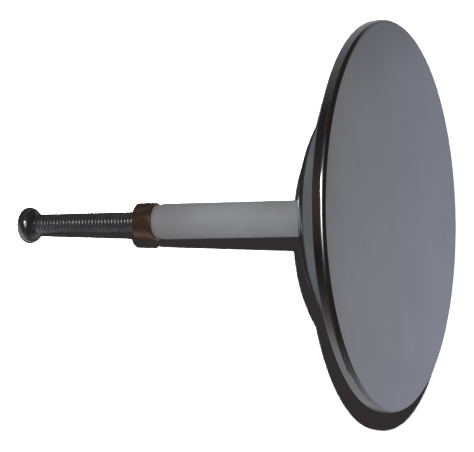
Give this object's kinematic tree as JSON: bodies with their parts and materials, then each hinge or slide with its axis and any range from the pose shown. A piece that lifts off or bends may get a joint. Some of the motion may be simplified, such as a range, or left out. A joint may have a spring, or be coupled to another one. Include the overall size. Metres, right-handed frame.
{
  "type": "bath drain valve",
  "caption": "Lift-out plug of a pop-up bath waste: domed chrome cap, rubber cone seal, plastic stem, brass lock nut and adjusting screw.",
  "frame": {"origin": "on the axis, in the plane where the rubber cone meets the edge of the drain opening", "axes": "+Z along the valve's axis toward the polished face of the cap, with the stem pointing down; -Y square to one flat of the lock nut"},
  "size_m": [0.071, 0.071, 0.0793],
  "materials": {
    "cap_chrome": "polished chrome plate, faintly scratched",
    "dish_chrome": "chrome plate",
    "stud_brass": "turned, dull",
    "nut_brass": "turned, dull",
    "lock_nut_brass": "turned, tarnished brown",
    "seal_rubber": "moulded, smooth grey",
    "washer_rubber": "black, matte",
    "core_plastic": "natural white moulding",
    "stem_plastic": "grey moulding, satin",
    "washer_steel": "stamped, zinc dull",
    "screw_steel": "rolled thread, dull"
  },
  "bodies": {
    "plug_body": {"cover_cap": "cap_chrome", "cap_stud": "stud_brass", "seal_ring": "seal_rubber", "seal_core": "core_plastic", "retainer_dish": "dish_chrome", "sealing_washer": "washer_rubber", "flat_washer": "washer_steel", "clamp_nut": "nut_brass", "guide_stem": "stem_plastic"},
    "lock_nut_body": {"lock_nut": "lock_nut_brass"},
    "screw_body": {"adjusting_screw": "screw_steel"}
  },
  "joints": [
    {"name": "lock_nut_turn", "type": "hinge", "parent": "plug_body", "child": "lock_nut_body", "pos_m": [0, 0, -0.0407], "axis": [0, 0, 1], "range_deg": [-2880, 7920]},
    {"name": "screw_travel", "type": "slide", "parent": "lock_nut_body", "child": "screw_body", "axis": [0, 0, 1], "range_m": [-0.0056, 0.0154]}
  ],
  "couplings": [
    {"joint": "lock_nut_turn", "follows": "screw_travel", "rad_per_m": 8976}
  ]
}
